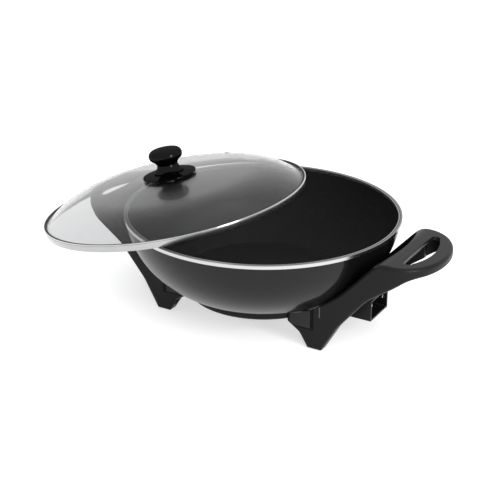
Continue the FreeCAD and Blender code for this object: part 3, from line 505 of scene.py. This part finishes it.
def band_profile():
    """Half section of the rolled band: a leaning face, a seam below the top bead, and a flange inwards.

    Its points are (radius, height), round from the lower edge by the face, the bead and the flange.
    """
    lean = math.tan(math.radians(BAND_DRAFT))
    foot = BAND_RADIUS - lean * BAND_HEIGHT
    seam = BAND_HEIGHT - BEAD_HEIGHT
    face = foot + lean * seam
    return rounded([
        (foot - BAND_SHEET, 0), (foot, 0),
        (face, seam), (face - SEAM_DEPTH, seam + SEAM_START), (face - SEAM_DEPTH, seam + SEAM_END),
        (BAND_RADIUS, seam + BEAD_START), (BAND_RADIUS - BEAD_LEAN, BAND_HEIGHT),
        (BAND_RADIUS - BAND_BRIGHT, BAND_HEIGHT), (BAND_RADIUS - BAND_LIP, BAND_HEIGHT - LIP_DROP),
        (BAND_RADIUS - BAND_LIP, BAND_HEIGHT - BAND_SHEET),
        (face - BAND_SHEET, BAND_HEIGHT - BAND_SHEET),
    ], BAND_BEND)


def make_band():
    """The rolled band, with painted shade in attribute shade: 1 on the flange's inner part, low on its
    face.
    """
    profile = band_profile()
    band = revolved("band", profile, lid_place(), BAND_STEPS)
    band.data.shade_smooth()
    radius, height = profile.T
    flange = (radius < BAND_RADIUS - BAND_BRIGHT) & (height > BAND_HEIGHT - 2 * BAND_SHEET)
    face = height < BAND_HEIGHT - BEAD_HEIGHT + SEAM_END
    level = np.where(flange, 1, np.where(face, FACE_SHADE, 0)).astype(np.float32)
    shade = band.data.attributes.new("shade", "FLOAT", "POINT")
    shade.data.foreach_set("value", np.tile(level, BAND_STEPS))
    band.data.materials.append(FINISHES["band_steel"])
    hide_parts("lid_band")
    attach(band, "lid")


make_band()


# ---------------------------------------------------------------- floor, light and camera

def seen_ray(start):
    """1 for rays from the camera and for what gloss and glass show, 0 for the rays that light things."""
    path = start.add("ShaderNodeLightPath").socket.node
    camera, glossy, through = (
        Signal(start.tree, path.outputs[name])
        for name in ("Is Camera Ray", "Is Glossy Ray", "Is Transmission Ray"))
    return camera.larger(glossy).larger(through)


def make_floor():
    """A wide pale floor that glows a little for what sees it, and keeps the wok's soft shadow."""
    mesh = bpy.data.meshes.new("floor")
    corners = [(x * FLOOR_HALF, y * FLOOR_HALF, 0) for x, y in ((-1, -1), (1, -1), (1, 1), (-1, 1))]
    mesh.from_pydata(corners, [], [(0, 1, 2, 3)])
    floor = placed("floor", mesh)
    material = bpy.data.materials.new("floor")
    material.use_nodes = True
    tree = material.node_tree
    tree.nodes.remove(tree.nodes["Principled BSDF"])
    start = Signal(tree)
    matte = start.add("ShaderNodeBsdfDiffuse", {"Color": gray(FLOOR_TONE)})
    strength = seen_ray(start) * FLOOR_GLOW
    glow = start.add("ShaderNodeEmission", {"Color": gray(1.0), "Strength": strength})
    both = start.add("ShaderNodeAddShader", {0: matte, 1: glow})
    tree.links.new(both.socket, tree.nodes["Material Output"].inputs["Surface"])
    mesh.materials.append(material)


def make_world():
    """White behind everything, and an even pale light on it."""
    world = bpy.data.worlds.new("studio")
    world.use_nodes = True
    bpy.context.scene.world = world
    tree = world.node_tree
    background = tree.nodes["Background"]
    strength = seen_ray(Signal(tree)) * (1 - WORLD_LIGHT) + WORLD_LIGHT
    tree.links.new(strength.socket, background.inputs["Strength"])
    background.inputs["Color"].default_value = gray(1.0)


def looking(place, aim, roll=0.0):
    """Matrix of a camera or lamp at a place, its -Z towards the aim and its top upwards, then rolled."""
    back = (Vector(place) - Vector(aim)).normalized()
    right = Vector((0, 0, 1)).cross(back).normalized()
    turned = Matrix((right, back.cross(right), back)).transposed().to_4x4()
    return Matrix.Translation(place) @ turned @ Matrix.Rotation(math.radians(roll), 4, "Z")


def add_lamp(name, place, aim, size, power, mirrored=False):
    """A soft lamp of a width and height, turned to its aim. A mirrored one shows in gloss instead."""
    light = bpy.data.lights.new(name, "AREA")
    light.shape = "RECTANGLE"
    light.size, light.size_y = size
    light.energy = power
    light.diffuse_factor = MIRRORED_SHARE if mirrored else 1.0
    lamp = placed(name, light)
    lamp.visible_glossy = mirrored
    lamp.matrix_world = looking(place, aim)


def make_camera():
    """The camera, a distance away from its aim, turned about the wok's axis and risen above the floor."""
    camera = placed("camera", bpy.data.cameras.new("camera"))
    camera.data.lens = LENS
    camera.data.sensor_width = SENSOR
    turn, rise = math.radians(CAMERA_TURN), math.radians(CAMERA_RISE)
    away = (math.sin(turn) * math.cos(rise), -math.cos(turn) * math.cos(rise), math.sin(rise))
    place = tuple(a + CAMERA_DISTANCE * d for a, d in zip(CAMERA_AIM, away))
    camera.matrix_world = looking(place, CAMERA_AIM, CAMERA_ROLL)
    bpy.context.scene.camera = camera


make_floor()
make_world()
make_camera()
add_lamp("key", place=(1.1, -1.5, 1.9), aim=(0, 0, 0.08), size=(1.4, 1.4), power=30)
add_lamp("top", place=(0.0, 0.5, 2.2), aim=(0, 0, 0.08), size=(1.6, 1.6), power=18)
add_lamp("side", place=(1.5, -0.5, 0.7), aim=(0, 0, 0.10), size=(0.5, 0.9), power=15, mirrored=True)
bpy.context.scene.view_settings.view_transform = "Standard"
